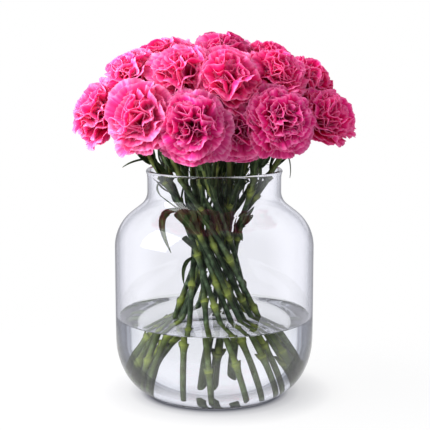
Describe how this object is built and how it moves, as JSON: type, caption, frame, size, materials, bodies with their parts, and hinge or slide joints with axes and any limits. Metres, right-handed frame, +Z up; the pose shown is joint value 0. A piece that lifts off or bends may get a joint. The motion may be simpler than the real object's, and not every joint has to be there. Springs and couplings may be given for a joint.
{
  "type": "carnations in a vase",
  "caption": "Bunch of frilled pink carnations on long green stems, standing in water in a round clear glass vase with a drum body, a sloping shoulder and a wide neck.",
  "frame": {"origin": "centre of the vase's flat base, on the table", "axes": "+Z up along the vase's axis, front of the bunch towards -Y, +X to the right seen from the front"},
  "size_m": [0.269, 0.2541, 0.3527],
  "materials": {
    "glass": "clear, polished",
    "water": "clear, still surface",
    "stem": "waxy grey-green skin",
    "petal": "soft, matt, paler at the frilled edges"
  },
  "bodies": {
    "root": {"vase": "glass", "water": "water", "stem_01": "stem", "stem_02": "stem", "stem_03": "stem", "stem_04": "stem", "stem_05": "stem", "stem_06": "stem", "stem_07": "stem", "stem_08": "stem", "stem_09": "stem", "stem_10": "stem", "stem_11": "stem", "stem_12": "stem", "stem_13": "stem", "stem_14": "stem", "stem_15": "stem", "stem_16": "stem", "stem_17": "stem", "stem_18": "stem", "stem_19": "stem", "stem_20": "stem", "bloom_01": "petal", "bloom_02": "petal", "bloom_03": "petal", "bloom_04": "petal", "bloom_05": "petal", "bloom_06": "petal", "bloom_07": "petal", "bloom_08": "petal", "bloom_09": "petal", "bloom_10": "petal", "bloom_11": "petal", "bloom_12": "petal", "bloom_13": "petal", "bloom_14": "petal", "bloom_15": "petal", "bloom_16": "petal", "bloom_17": "petal", "bloom_18": "petal", "bloom_19": "petal", "bloom_20": "petal"}
  },
  "joints": []
}
